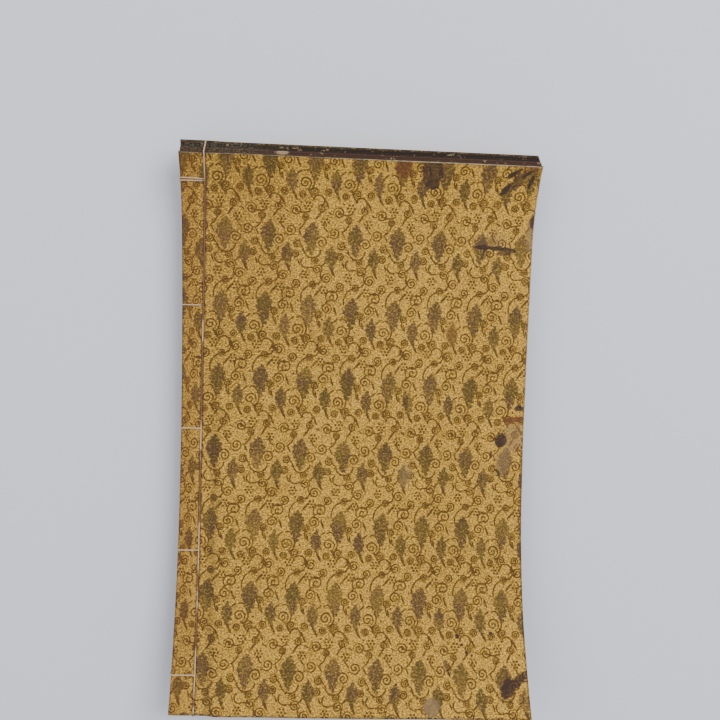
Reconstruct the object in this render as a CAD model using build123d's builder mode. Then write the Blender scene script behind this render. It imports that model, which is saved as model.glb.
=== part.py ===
from build123d import *
from math import cos, radians, sin
import os

# Side-sewn album lying on its back cover. +Z is up through the front cover, +Y points to the head and
# +X from the spine to the fore-edge. The origin is under the middle of the whole album. Millimetres.
# Every sheet is bowed along its length: a short stretch curls up at the head, a level stretch carries the
# album, and a long stretch rises towards the tail, more at the fore-edge than at the spine.

# Driving dimensions
cover_width = 200.0      # spine to fore-edge
album_thickness = 16.0   # over both covers, away from the sewing
head_arc = 40.0          # length of the stretch that curls up at the head
flat_length = 146.0      # level stretch that the album rests on
head_straight = 0.4      # straight stretch of the uppermost sheet past the curl
tail_arc = 124.0         # length of the stretch that rises towards the tail
head_curl = (29.0, 31.0)  # turn of the head stretch, at the spine and at the fore-edge, degrees
tail_curl = (10.5, 25.0)  # turn of the tail stretch, at the spine and at the fore-edge, degrees
edge_hollow = 3.0        # how far the spine and fore-edges bend inwards at mid-length

facing_thickness = 0.35  # figured covering of each cover
board_thickness = 0.85   # laminated card inside each cover
lining_thickness = 0.30  # paper pasted inside each cover
leaf_count = 20          # flyleaves included
leaf_gap = 0.03          # air between two leaves
leaf_inset = 0.6         # covers overhang the leaves by this much

hinge_line = 20.0        # distance of the hinge line from the spine
hinge_gap = 1.0          # gap on each side of the hinge line
margin_squeeze = 1.2     # how much the sewing sinks each face of the margin
tie_room = 0.5           # space for the paper ties under each cover's margin

sewing_line = 14.0       # distance of the holes from the spine
first_station = 14.5     # distance of the first hole from the head
station_spacing = 68.5
station_count = 5
hole_radius = 1.15
pass_radius = 1.05       # the three passes of the thread through a hole, side by side
thread_size = 1.1        # thickness and width of the thread
double_thread_gap = 0.3  # between the two turns at the first station

tie_line = 8.0           # distance of the tie holes from the spine
tie_span = 12.0          # distance between the two holes of one tie
tie_radius = 1.0
tie_hole_radius = 1.1
tie_flat = 0.4           # thickness of a tie's ends where they are beaten flat
tie_places = {"head_paper_tie": 0.5, "tail_paper_tie": 3.5}  # in station spacings past the first station

# Worked-out values
spine_x = -cover_width / 2
plan_reach = 160.0       # half the length of the arcs that hollow the spine and fore-edges
layers = {"facing": facing_thickness, "board": board_thickness, "lining": lining_thickness}
cover_thickness = sum(layers.values())
leaf_pitch = (album_thickness - 2 * cover_thickness) / leaf_count
margin_thickness = album_thickness - 2 * margin_squeeze
leaf_block_depth = margin_squeeze + cover_thickness + tie_room
leaf_block_thickness = margin_thickness - 2 * (cover_thickness + tie_room)
margin_pitch = leaf_block_thickness / leaf_count
strip_end = hinge_line - hinge_gap
panel_start = hinge_line + hinge_gap
spine_head_reach = head_arc * sin(radians(head_curl[0])) / radians(head_curl[0])
spine_tail_reach = tail_arc * sin(radians(tail_curl[0])) / radians(tail_curl[0])
slanted_cut = album_thickness * sin(radians(head_curl[0])) * cos(radians(head_curl[0]))
flat_head_y = (spine_tail_reach + flat_length - spine_head_reach - slanted_cut) / 2
flat_tail_y = flat_head_y - flat_length
tall = 200.0             # cutting height, well past the album


def turn_at(ends, from_spine):
    """Turn in radians at a distance from the spine, of a stretch whose turns at the two edges are given."""
    return radians(ends[0] + (ends[1] - ends[0]) * from_spine / cover_width)


def reach(length, turn, share):
    """Level reach and rise of an arc of a given length and turn, after a share of it."""
    radius = length / turn
    return radius * sin(turn * share), radius * (1 - cos(turn * share))


def section(from_spine, depth, thickness, inset=0.0):
    """Lengthwise section of a sheet or block, with its upper face at a depth under the front cover's face.

    The head end is cut square to the curl, and the tail end upright.
    """
    head_turn = turn_at(head_curl, from_spine)
    tail_turn = turn_at(tail_curl, from_spine) * (tail_arc - inset) / tail_arc
    head_mid = reach(head_arc, head_turn, 0.5)
    head_end = reach(head_arc, head_turn, 1)
    tail_mid = reach(tail_arc - inset, tail_turn, 0.5)
    tail_end = reach(tail_arc - inset, tail_turn, 1)
    faces = []
    for level in (depth, depth + thickness):
        height = album_thickness - level
        square = head_straight + level * sin(head_turn) - inset
        faces.append({
            "tail": (flat_tail_y - tail_end[0], height + tail_end[1]),
            "tail_mid": (flat_tail_y - tail_mid[0], height + tail_mid[1]),
            "flat_tail": (flat_tail_y, height),
            "flat_head": (flat_head_y, height),
            "head_mid": (flat_head_y + head_mid[0], height + head_mid[1]),
            "head": (flat_head_y + head_end[0], height + head_end[1]),
            "tip": (
                flat_head_y + head_end[0] + square * cos(head_turn),
                height + head_end[1] + square * sin(head_turn),
            ),
        })
    with BuildSketch(Plane.YZ.offset(spine_x + from_spine)) as profile:
        with BuildLine():
            for face in faces:
                ThreePointArc(face["tail"], face["tail_mid"], face["flat_tail"])
                Line(face["flat_tail"], face["flat_head"])
                ThreePointArc(face["flat_head"], face["head_mid"], face["head"])
                Line(face["head"], face["tip"])
            Line(faces[0]["tip"], faces[1]["tip"])
            Line(faces[0]["tail"], faces[1]["tail"])
        make_face()
    return profile.sketch


def outline(inset=0.0):
    """Plan of a cover or leaf, whose spine and fore-edges are shallow arcs."""
    spine = spine_x + inset
    fore = spine_x + cover_width - inset
    with BuildSketch(Plane.XY.offset(-tall / 4)) as plan:
        with BuildLine():
            ThreePointArc((spine, -plan_reach), (spine + edge_hollow, 0), (spine, plan_reach))
            Line((spine, plan_reach), (fore, plan_reach))
            ThreePointArc((fore, plan_reach), (fore - edge_hollow, 0), (fore, -plan_reach))
            Line((fore, -plan_reach), (spine, -plan_reach))
        make_face()
    return plan.sketch


def surface_point(from_head, from_spine):
    """Y and rise of the sheets at a distance along them from the cover's head edge."""
    if from_head < head_arc:
        ahead, up = reach(head_arc, turn_at(head_curl, from_spine), 1 - from_head / head_arc)
        return flat_head_y + ahead, up
    past_flat = from_head - head_arc - flat_length
    if past_flat < 0:
        return flat_head_y - (from_head - head_arc), 0.0
    back, up = reach(tail_arc, turn_at(tail_curl, from_spine), past_flat / tail_arc)
    return flat_tail_y - back, up


station_points = [
    surface_point(first_station + station_spacing * number, sewing_line) for number in range(station_count)
]
station_places = [(spine_x + sewing_line, y, album_thickness / 2 + up) for y, up in station_points]
tie_points = {
    name: [
        surface_point(first_station + station_spacing * spacings + side * tie_span / 2, tie_line)
        for side in (-1, 1)
    ]
    for name, spacings in tie_places.items()
}
tie_hole_places = [
    (spine_x + tie_line, y, album_thickness / 2 + up) for points in tie_points.values() for y, up in points
]

os.makedirs("parts", exist_ok=True)


def save(builder, name):
    """Label a finished sub-part and write it."""
    builder.part.label = name
    export_step(builder.part, f"parts/{name}.step")


# Covers: on each side of the hinge line a facing, a board and a lining. The sewn margin is a little sunk.
for side in ("front", "back"):
    panel_depth = 0.0 if side == "front" else album_thickness
    margin_depth = margin_squeeze if side == "front" else album_thickness - margin_squeeze
    for layer, thickness in layers.items():
        if side == "back":
            panel_depth -= thickness
            margin_depth -= thickness

        with BuildPart() as panel:
            loft(
                sections=[section(x, panel_depth, thickness) for x in (panel_start, cover_width)],
                ruled=True,
            )
            extrude(to_extrude=outline(), amount=tall, mode=Mode.INTERSECT)
        save(panel, f"{side}_{layer}")

        with BuildPart() as margin_strip:
            loft(sections=[section(x, margin_depth, thickness) for x in (0, strip_end)], ruled=True)
            extrude(to_extrude=outline(), amount=tall, mode=Mode.INTERSECT)
            with Locations(*station_places):
                Cylinder(hole_radius, tall / 4, mode=Mode.SUBTRACT)
        save(margin_strip, f"{side}_margin_{layer}")

        if side == "front":
            panel_depth += thickness
            margin_depth += thickness

# Leaves, from the front flyleaf down to the back flyleaf
for number in range(leaf_count):
    depth = cover_thickness + leaf_gap / 2 + leaf_pitch * number
    if number == 0:
        leaf_name = "front_flyleaf"
    elif number == leaf_count - 1:
        leaf_name = "back_flyleaf"
    else:
        leaf_name = f"leaf_{number:02d}"
    with BuildPart() as leaf:
        loft(
            sections=[
                section(x, depth, leaf_pitch - leaf_gap, leaf_inset) for x in (panel_start, cover_width)
            ],
            ruled=True,
        )
        extrude(to_extrude=outline(leaf_inset), amount=tall, mode=Mode.INTERSECT)
    save(leaf, leaf_name)

# The same leaves' margins, pressed together by the sewing and drilled for the thread and the paper ties
with BuildPart() as leaf_margins:
    for number in range(leaf_count):
        depth = leaf_block_depth + leaf_gap / 2 + margin_pitch * number
        loft(
            sections=[section(x, depth, margin_pitch - leaf_gap, leaf_inset) for x in (0, strip_end)],
            ruled=True,
        )
    extrude(to_extrude=outline(leaf_inset), amount=tall, mode=Mode.INTERSECT)
    with Locations(*station_places):
        Cylinder(hole_radius, tall / 4, mode=Mode.SUBTRACT)
    with Locations(*tie_hole_places):
        Cylinder(tie_hole_radius, tall / 4, mode=Mode.SUBTRACT)
save(leaf_margins, "leaf_margins")

# Route of the thread in plan: one run along the sewing line and over both ends, and a turn round the spine
# at each station, doubled at the first
turn_length = sewing_line + 2 * thread_size
turn_ys = [y for y, _ in station_points[1:]]
turn_ys += [station_points[0][0] + side * (thread_size + double_thread_gap) / 2 for side in (-1, 1)]
with BuildSketch(Plane.XY.offset(-tall / 4)) as thread_route:
    with Locations((spine_x + sewing_line, 0)):
        Rectangle(thread_size, 2 * plan_reach + 2 * tall)
    with Locations(*[(spine_x + sewing_line, y) for y in turn_ys]):
        Rectangle(turn_length, thread_size, align=(Align.MAX, Align.CENTER))
    add(outline(-thread_size), mode=Mode.INTERSECT)

with BuildPart() as sewn_block:
    loft(sections=[section(x, margin_squeeze, margin_thickness) for x in (0, strip_end)], ruled=True)
    extrude(to_extrude=outline(), amount=tall, mode=Mode.INTERSECT)

with BuildPart() as binding_thread:
    loft(
        sections=[
            section(x, margin_squeeze - thread_size, margin_thickness + 2 * thread_size, -thread_size)
            for x in (-2 * thread_size, strip_end)
        ],
        ruled=True,
    )
    extrude(to_extrude=thread_route.sketch, amount=tall, mode=Mode.INTERSECT)
    add(sewn_block.part, mode=Mode.SUBTRACT)
    with Locations(*station_places):
        Cylinder(pass_radius, margin_thickness + thread_size)
save(binding_thread, "binding_thread")

# Paper ties: two legs through the leaves' margin, with their ends beaten flat over the block
with BuildPart() as leaf_block:
    loft(sections=[section(x, leaf_block_depth, leaf_block_thickness) for x in (0, strip_end)], ruled=True)

for name, points in tie_points.items():
    tie_length = points[0][0] - points[1][0] + 2 * tie_radius
    tie_middle = (points[0][0] + points[1][0]) / 2
    with BuildSketch(Plane.XY.offset(-tall / 4)) as tie_plan:
        with Locations((spine_x + tie_line, tie_middle)):
            SlotOverall(tie_length, 2 * tie_radius, rotation=90)
    with BuildPart() as tie:
        loft(
            sections=[
                section(x, leaf_block_depth - tie_flat, leaf_block_thickness + 2 * tie_flat)
                for x in (0, strip_end)
            ],
            ruled=True,
        )
        extrude(to_extrude=tie_plan.sketch, amount=tall, mode=Mode.INTERSECT)
        add(leaf_block.part, mode=Mode.SUBTRACT)
        with Locations(*[(spine_x + tie_line, y, album_thickness / 2 + up) for y, up in points]):
            Cylinder(tie_radius, leaf_block_thickness + tie_flat)
    save(tie, name)
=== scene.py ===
"""Side-sewn album with figured covers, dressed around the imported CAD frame.

Everything is in metres in the frame's own axes: +Z up through the front cover, +Y towards the head and +X
from the spine to the fore-edge.
"""
import logging
import math
from dataclasses import dataclass, field
from enum import Enum
from typing import Callable, Sequence

import bpy
import numpy as np
from mathutils import Matrix, Vector


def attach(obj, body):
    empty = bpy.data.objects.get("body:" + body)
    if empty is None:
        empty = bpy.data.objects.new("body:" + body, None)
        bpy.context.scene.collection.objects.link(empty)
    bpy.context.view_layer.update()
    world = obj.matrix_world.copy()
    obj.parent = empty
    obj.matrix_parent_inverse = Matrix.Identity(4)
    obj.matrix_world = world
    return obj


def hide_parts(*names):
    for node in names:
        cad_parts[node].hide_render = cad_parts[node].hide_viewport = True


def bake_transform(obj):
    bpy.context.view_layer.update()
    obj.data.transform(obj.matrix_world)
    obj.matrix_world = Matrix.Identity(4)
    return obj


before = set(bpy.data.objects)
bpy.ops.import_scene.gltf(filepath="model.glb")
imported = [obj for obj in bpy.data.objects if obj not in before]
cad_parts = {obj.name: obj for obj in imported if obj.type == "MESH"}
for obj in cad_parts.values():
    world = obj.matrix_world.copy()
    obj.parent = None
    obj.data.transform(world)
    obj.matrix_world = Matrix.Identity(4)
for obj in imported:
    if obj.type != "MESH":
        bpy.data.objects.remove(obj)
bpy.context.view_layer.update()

logging.basicConfig(level=logging.INFO, format="%(message)s")
log = logging.getLogger("album")

MM = 0.001
ROOT_BODY = "sewn_margin"
FLAT_PLACE = "flat_place"  # distance from the spine, distance from the cover's head edge, and a sheet number


class Face(Enum):
    """The two covers."""

    FRONT = "front"
    BACK = "back"


# ----------------------------------------------------------------------------------------------------------
# Shape shared by every sheet
# ----------------------------------------------------------------------------------------------------------


def smooth_step(value: np.ndarray, low: float, high: float) -> np.ndarray:
    """Ease from 0 at low to 1 at high.

    Args:
        value: Where to look it up.
        low: Value where the ease starts.
        high: Value where it ends.

    Returns:
        The eased share, the same shape as value.
    """
    share = np.clip((value - low) / (high - low), 0.0, 1.0)
    return share * share * (3.0 - 2.0 * share)


def bell(value: np.ndarray, middle: float, spread: float) -> np.ndarray:
    """Smooth hump of height 1 around a middle value, with the given spread."""
    return np.exp(-(((value - middle) / spread) ** 2))


@dataclass(frozen=True)
class Bow:
    """The lengthwise bow of the album: a curl at the head, a level stretch and a long rise to the tail."""

    width: float = 0.200
    thickness: float = 0.016
    head_arc: float = 0.040
    flat_length: float = 0.146
    tail_arc: float = 0.124
    head_straight: float = 0.0004
    head_slant: float = 0.62  # how far a sheet reaches past the cover's head edge for each unit of its depth
    head_curl: tuple[float, float] = (29.0, 31.0)
    tail_curl: tuple[float, float] = (10.5, 25.0)
    edge_hollow: float = 0.003
    hollow_reach: float = 0.160
    hinge_line: float = 0.020
    sewing_line: float = 0.014
    first_station: float = 0.0145
    station_spacing: float = 0.0685
    station_count: int = 5
    margin_squeeze: float = 0.0012

    @property
    def length(self) -> float:
        """Length of a cover along the sheet."""
        return self.head_arc + self.flat_length + self.tail_arc

    @property
    def spine_x(self) -> float:
        """X of the spine edge."""
        return -self.width / 2

    @property
    def flat_head_y(self) -> float:
        """Y where the level stretch meets the head curl.

        Returns:
            The Y, chosen so that the album lies centred on the frame.
        """
        head, tail = math.radians(self.head_curl[0]), math.radians(self.tail_curl[0])
        head_reach = self.head_arc * math.sin(head) / head
        tail_reach = self.tail_arc * math.sin(tail) / tail
        slanted_cut = self.thickness * math.sin(head) * math.cos(head)
        return (tail_reach + self.flat_length - head_reach - slanted_cut) / 2

    @property
    def stations(self) -> list[float]:
        """Distances of the sewing stations from the head edge."""
        return [self.first_station + self.station_spacing * number for number in range(self.station_count)]

    def head_end(self, depth: float) -> float:
        """Where a sheet at a depth starts, along the sheet from the cover's head edge."""
        return -(self.head_straight + depth * self.head_slant)

    def edge_profile(self, along: np.ndarray, turns: tuple[float, float]) -> tuple[np.ndarray, np.ndarray]:
        """Y and rise along one edge of the sheets.

        Args:
            along: Distances from the cover's head edge, negative past it.
            turns: Turn of the head curl and of the tail stretch at this edge, in degrees.

        Returns:
            Y and rise at each distance.
        """
        head, tail = math.radians(turns[0]), math.radians(turns[1])
        head_radius, tail_radius = self.head_arc / head, self.tail_arc / tail
        head_angle = np.clip(head * (1 - along / self.head_arc), 0.0, head)
        past_flat = along - self.head_arc - self.flat_length
        tail_angle = tail * np.clip(past_flat / self.tail_arc, 0.0, None)
        flat = np.clip(along - self.head_arc, 0.0, self.flat_length)
        overrun = np.clip(-along, 0.0, None)
        y = self.flat_head_y - flat + head_radius * np.sin(head_angle) - tail_radius * np.sin(tail_angle)
        rise = head_radius * (1 - np.cos(head_angle)) + tail_radius * (1 - np.cos(tail_angle))
        return y + overrun * math.cos(head), rise + overrun * math.sin(head)

    def hollow(self, y: np.ndarray) -> np.ndarray:
        """How far the spine and fore-edges stand in at each Y."""
        radius = (self.hollow_reach**2 + self.edge_hollow**2) / (2 * self.edge_hollow)
        return self.edge_hollow - (radius - np.sqrt(radius**2 - y**2))

    def place(self, across: np.ndarray, along: np.ndarray, depth: np.ndarray) -> np.ndarray:
        """Points of a sheet in the album's frame.

        Args:
            across: Distances from the spine edge.
            along: Distances from the cover's head edge.
            depth: Depths under the front cover's face.

        Returns:
            An array of points, one row each.
        """
        share = across / self.width
        spine_y, spine_rise = self.edge_profile(along, (self.head_curl[0], self.tail_curl[0]))
        fore_y, fore_rise = self.edge_profile(along, (self.head_curl[1], self.tail_curl[1]))
        y = spine_y * (1 - share) + fore_y * share
        rise = spine_rise * (1 - share) + fore_rise * share
        spine_pull = 1 - smooth_step(across, 0.0, self.sewing_line)
        fore_pull = smooth_step(across, 0.5 * self.width, self.width)
        x = self.spine_x + across + self.hollow(y) * (spine_pull - fore_pull)
        return np.stack([x, y, self.thickness - depth + rise], axis=1)

    def relief(self, across: np.ndarray, along: np.ndarray) -> np.ndarray:
        """Dents and swells of the front cover's face, which the leaves under it follow less and less.

        Args:
            across: Distances from the spine edge.
            along: Distances from the cover's head edge.

        Returns:
            Height of the face above its plain bow.
        """
        near_station = sum(bell(along, station, 0.006) for station in self.stations)
        sewing = -(0.25 + 0.35 * near_station) * bell(across, self.sewing_line, 0.0022)
        turns = -0.30 * near_station * smooth_step(-across, -self.sewing_line, -0.008)
        crease = -(0.35 + 0.2 * np.sin(along * 47.0)) * bell(across, self.hinge_line + 0.001, 0.0024)
        roll = 0.30 * bell(across, self.hinge_line + 0.011, 0.008)
        crease_middle = 0.0485 + 0.02 * (across - 0.176)
        short_crease = -0.45 * bell(along, crease_middle, 0.0012) * bell(across, 0.177, 0.011)
        swell = 0.22 * np.sin(across * 41.0 + 1.3) * np.sin(along * 33.0 + across * 9.0)
        ripple = 0.10 * np.sin(across * 96.0 + along * 52.0) * np.sin(along * 121.0 - across * 37.0 + 0.6)
        edge = smooth_step(across, 0.165, self.width)
        fore_ripple = 0.35 * edge * np.sin(along * 88.0 + 0.8) * np.sin(along * 31.0)
        body = smooth_step(across, 0.016, 0.040)
        return MM * (sewing + turns + crease + roll + short_crease + body * (swell + ripple) + fore_ripple)


BOW = Bow()


# ----------------------------------------------------------------------------------------------------------
# Modelling helpers
# ----------------------------------------------------------------------------------------------------------


def deselect_all() -> None:
    """Leave object mode with nothing selected."""
    if bpy.context.object and bpy.context.object.mode != "OBJECT":
        bpy.ops.object.mode_set(mode="OBJECT")
    bpy.ops.object.select_all(action="DESELECT")


def apply_modifier(piece: bpy.types.Object, kind: str, **settings: object) -> None:
    """Add a modifier to a piece and apply it.

    Args:
        piece: The piece to change.
        kind: Blender's name for the modifier's kind.
        **settings: Values for the modifier's own settings.
    """
    deselect_all()
    piece.select_set(True)
    bpy.context.view_layer.objects.active = piece
    modifier = piece.modifiers.new(kind.title(), kind)
    for name, value in settings.items():
        setattr(modifier, name, value)
    bpy.ops.object.modifier_apply(modifier=modifier.name)


def shade_by_angle(piece: bpy.types.Object, degrees: float) -> None:
    """Smooth a piece's faces, with edges sharper than the angle kept crisp.

    Args:
        piece: The piece.
        degrees: Largest angle between two faces that is smoothed.
    """
    deselect_all()
    piece.select_set(True)
    bpy.context.view_layer.objects.active = piece
    bpy.ops.object.shade_smooth_by_angle(angle=math.radians(degrees))


def set_flat_place(piece: bpy.types.Object, places: np.ndarray) -> None:
    """Store each vertex's place on its flat sheet, for the finishes to read.

    Args:
        piece: The piece.
        places: One row for each vertex: across, along and the sheet number.
    """
    attribute = piece.data.attributes.get(FLAT_PLACE)
    if attribute is None:
        attribute = piece.data.attributes.new(FLAT_PLACE, "FLOAT_VECTOR", "POINT")
    attribute.data.foreach_set("vector", places.astype(np.float32).ravel())


def add_sheet(
    name: str,
    columns: Sequence[float],
    rows: Sequence[float],
    surface: Callable[[np.ndarray, np.ndarray], np.ndarray],
    thickness: float,
    number: float = 0.0,
) -> bpy.types.Object:
    """Model one bent sheet: a flat grid is bent to a surface and given its thickness underneath.

    Args:
        name: Name of the piece.
        columns: Distances of the grid's columns from the spine edge.
        rows: Distances of the grid's rows from the cover's head edge.
        surface: Gives the points of the upper face for distances across and along the sheet.
        thickness: Thickness of the sheet.
        number: Sheet number that the finishes vary with.

    Returns:
        The new piece.
    """
    deselect_all()
    bpy.ops.mesh.primitive_grid_add(x_subdivisions=len(columns) - 1, y_subdivisions=len(rows) - 1, size=2.0)
    piece = bpy.context.object
    piece.name = name
    piece.data.name = name
    count = len(piece.data.vertices)
    grid = np.empty(count * 3)
    piece.data.vertices.foreach_get("co", grid)
    grid = grid.reshape(-1, 3)
    column = np.rint((grid[:, 0] + 1) / 2 * (len(columns) - 1)).astype(int)
    row = np.rint((1 - grid[:, 1]) / 2 * (len(rows) - 1)).astype(int)
    across, along = np.asarray(columns)[column], np.asarray(rows)[row]
    piece.data.vertices.foreach_set("co", surface(across, along).ravel())
    set_flat_place(piece, np.stack([across, along, np.full(count, number)], axis=1))
    piece.data.update()
    apply_modifier(piece, "SOLIDIFY", thickness=thickness, offset=-1.0, use_even_offset=True)
    return piece


def finish_piece(
    piece: bpy.types.Object, material: bpy.types.Material, nodes: Sequence[str]
) -> None:
    """Give a piece its finish, and hide the CAD nodes that it stands for.

    Args:
        piece: The piece.
        material: Its finish.
        nodes: CAD nodes that the piece stands for.
    """
    piece.data.materials.clear()
    piece.data.materials.append(material)
    if nodes:
        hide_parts(*nodes)


# ----------------------------------------------------------------------------------------------------------
# Finishes
# ----------------------------------------------------------------------------------------------------------

Socket = bpy.types.NodeSocket
Value = Socket | float | tuple[float, ...]


class Graph:
    """Short way to write a material's nodes."""

    def __init__(self, name: str) -> None:
        """Start an empty material with its output and shader.

        Args:
            name: The material's name.
        """
        self.material = bpy.data.materials.new(name)
        self.material.use_nodes = True
        self.tree = self.material.node_tree
        self.tree.nodes.clear()
        self.output = self.tree.nodes.new("ShaderNodeOutputMaterial")
        self.shader = self.tree.nodes.new("ShaderNodeBsdfPrincipled")
        self.tree.links.new(self.shader.outputs["BSDF"], self.output.inputs["Surface"])

    def feed(self, socket: Socket, value: Value) -> None:
        """Link a socket to another, or set its own value.

        Args:
            socket: The input.
            value: Another socket, or a value.
        """
        if isinstance(value, bpy.types.NodeSocket):
            self.tree.links.new(value, socket)
        elif isinstance(value, tuple) and socket.type == "RGBA" and len(value) == 3:
            socket.default_value = (*value, 1.0)
        else:
            socket.default_value = value

    def math(self, operation: str, *values: Value, clamp: bool = False) -> Socket:
        """Math node on up to three values.

        Args:
            operation: Blender's name for the sum.
            *values: What it works on.
            clamp: Whether the result is kept between 0 and 1.

        Returns:
            The result.
        """
        node = self.tree.nodes.new("ShaderNodeMath")
        node.operation = operation
        node.use_clamp = clamp
        for socket, value in zip(node.inputs, values):
            self.feed(socket, value)
        return node.outputs[0]

    def times(self, first: Value, second: Value, clamp: bool = False) -> Socket:
        """Product of two values."""
        return self.math("MULTIPLY", first, second, clamp=clamp)

    def scaled(self, value: Value, factor: Value, offset: Value) -> Socket:
        """Value times a factor, plus an offset."""
        return self.math("MULTIPLY_ADD", value, factor, offset)

    def less(self, first: Value, second: Value) -> Socket:
        """First value less the second."""
        return self.math("SUBTRACT", first, second)

    def lowest(self, first: Value, second: Value) -> Socket:
        """Lower of two values."""
        return self.math("MINIMUM", first, second)

    def highest(self, first: Value, second: Value) -> Socket:
        """Higher of two values."""
        return self.math("MAXIMUM", first, second)

    def object_place(self) -> Socket:
        """Place in the object's own coordinates, in metres."""
        return self.tree.nodes.new("ShaderNodeTexCoord").outputs["Object"]

    def vector(self, operation: str, *values: Value) -> Socket:
        """Vector math node; gives the value for lengths, distances and dot products.

        Args:
            operation: Blender's name for the sum.
            *values: What it works on.

        Returns:
            The result.
        """
        node = self.tree.nodes.new("ShaderNodeVectorMath")
        node.operation = operation
        for socket, value in zip(node.inputs, values):
            self.feed(socket, value)
        return node.outputs["Value" if operation in ("LENGTH", "DISTANCE", "DOT_PRODUCT") else "Vector"]

    def split(self, vector: Value) -> tuple[Socket, Socket, Socket]:
        """The three parts of a vector.

        Args:
            vector: The vector.

        Returns:
            X, Y and Z.
        """
        node = self.tree.nodes.new("ShaderNodeSeparateXYZ")
        self.feed(node.inputs[0], vector)
        return node.outputs[0], node.outputs[1], node.outputs[2]

    def join(self, x: Value, y: Value, z: Value = 0.0) -> Socket:
        """Vector made of three values.

        Args:
            x: First part.
            y: Second part.
            z: Third part.

        Returns:
            The vector.
        """
        node = self.tree.nodes.new("ShaderNodeCombineXYZ")
        for socket, value in zip(node.inputs, (x, y, z)):
            self.feed(socket, value)
        return node.outputs[0]

    def ease(self, value: Value, low: Value, high: Value) -> Socket:
        """Smooth step of a value: 0 at low, 1 at high. Low may lie above high.

        Args:
            value: Where to look it up.
            low: Value that gives 0.
            high: Value that gives 1.

        Returns:
            The eased share.
        """
        node = self.tree.nodes.new("ShaderNodeMapRange")
        node.interpolation_type = "SMOOTHSTEP"
        self.feed(node.inputs["Value"], value)
        self.feed(node.inputs["From Min"], low)
        self.feed(node.inputs["From Max"], high)
        return node.outputs["Result"]

    def noise(self, vector: Value, scale: float, detail: float = 2.0, roughness: float = 0.5) -> Socket:
        """Noise between 0 and 1, around 0.5.

        Args:
            vector: The vector.
            scale: How many features there are to one unit of the vector.
            detail: How many finer layers are added.
            roughness: How strong the finer layers are.

        Returns:
            The noise.
        """
        node = self.tree.nodes.new("ShaderNodeTexNoise")
        self.feed(node.inputs["Vector"], vector)
        node.inputs["Scale"].default_value = scale
        node.inputs["Detail"].default_value = detail
        node.inputs["Roughness"].default_value = roughness
        return node.outputs[0]

    def noise_vector(self, vector: Value, scale: float, detail: float = 1.0) -> Socket:
        """Noise in three parts, each around 0.

        Args:
            vector: The vector.
            scale: How many features there are to one unit of the vector.
            detail: How many finer layers are added.

        Returns:
            The noise.
        """
        node = self.tree.nodes.new("ShaderNodeTexNoise")
        self.feed(node.inputs["Vector"], vector)
        node.inputs["Scale"].default_value = scale
        node.inputs["Detail"].default_value = detail
        return self.vector("SUBTRACT", node.outputs[1], (0.5, 0.5, 0.5))

    def mix(self, share: Value, first: Value, second: Value) -> Socket:
        """Mix of two colours.

        Args:
            share: Share of the second, from 0 to 1.
            first: What a share of 0 gives.
            second: What a share of 1 gives.

        Returns:
            The mixed colour.
        """
        node = self.tree.nodes.new("ShaderNodeMix")
        node.data_type = "RGBA"
        self.feed(node.inputs[0], share)
        self.feed(node.inputs[6], first)
        self.feed(node.inputs[7], second)
        return node.outputs[2]

    def mix_vector(self, share: Value, first: Value, second: Value) -> Socket:
        """Mix of two vectors.

        Args:
            share: Share of the second, from 0 to 1.
            first: What a share of 0 gives.
            second: What a share of 1 gives.

        Returns:
            The mixed vector.
        """
        node = self.tree.nodes.new("ShaderNodeMix")
        node.data_type = "VECTOR"
        self.feed(node.inputs[0], share)
        self.feed(node.inputs[4], first)
        self.feed(node.inputs[5], second)
        return node.outputs[1]

    def flat_place(self) -> Socket:
        """Place on the flat sheet, in millimetres.

        Returns:
            Distance across, distance along and the sheet number.
        """
        node = self.tree.nodes.new("ShaderNodeAttribute")
        node.attribute_name = FLAT_PLACE
        return self.vector("MULTIPLY", node.outputs["Vector"], (1 / MM, 1 / MM, 1.0))

    def turned(self, vector: Value, degrees: float) -> Socket:
        """Vector turned about Z.

        Args:
            vector: The vector.
            degrees: How far to turn it.

        Returns:
            The turned vector.
        """
        node = self.tree.nodes.new("ShaderNodeVectorRotate")
        node.rotation_type = "Z_AXIS"
        self.feed(node.inputs["Vector"], vector)
        node.inputs["Angle"].default_value = math.radians(degrees)
        return node.outputs[0]

    def bump(
        self, height: Value, distance: float, strength: float = 1.0, normal: Socket | None = None
    ) -> Socket:
        """Bumped normal for a height.

        Args:
            height: The height, from 0 to 1.
            distance: Height of the whole range, in metres.
            strength: How much of it to use.
            normal: Normal to start from, if not the surface's own.

        Returns:
            The normal.
        """
        node = self.tree.nodes.new("ShaderNodeBump")
        node.inputs["Strength"].default_value = strength
        node.inputs["Distance"].default_value = distance
        self.feed(node.inputs["Height"], height)
        if normal is not None:
            self.feed(node.inputs["Normal"], normal)
        return node.outputs[0]

    def surface(self, colour: Value, roughness: Value, normal: Socket | None = None, **fixed: float) -> None:
        """Feed the shader.

        Args:
            colour: Base colour.
            roughness: Roughness.
            normal: Bumped normal, if any.
            **fixed: Values that are the same all over, by socket name with underscores for spaces.
        """
        self.feed(self.shader.inputs["Base Color"], colour)
        self.feed(self.shader.inputs["Roughness"], roughness)
        if normal is not None:
            self.feed(self.shader.inputs["Normal"], normal)
        for name, value in fixed.items():
            self.shader.inputs[name.replace("_", " ")].default_value = value


@dataclass(frozen=True)
class FigureBand:
    """One row of the figure, in millimetres from its large leaf's middle: across, then towards the tail."""

    small_leaf: tuple[float, float]
    # Curls: place, radius, turn of the outer end in degrees, and hand
    curls: tuple[tuple[float, float, float, float, int], ...]
    flowers: tuple[tuple[float, float], ...]
    # Stems: centre of the arc, its radius, the way its middle faces in degrees, and half of its span
    stems: tuple[tuple[float, float, float, float, float], ...]
    # Strokes: place, turn in degrees, half length and half width
    strokes: tuple[tuple[float, float, float, float, float], ...]
    buds: tuple[tuple[float, float], ...]


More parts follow.
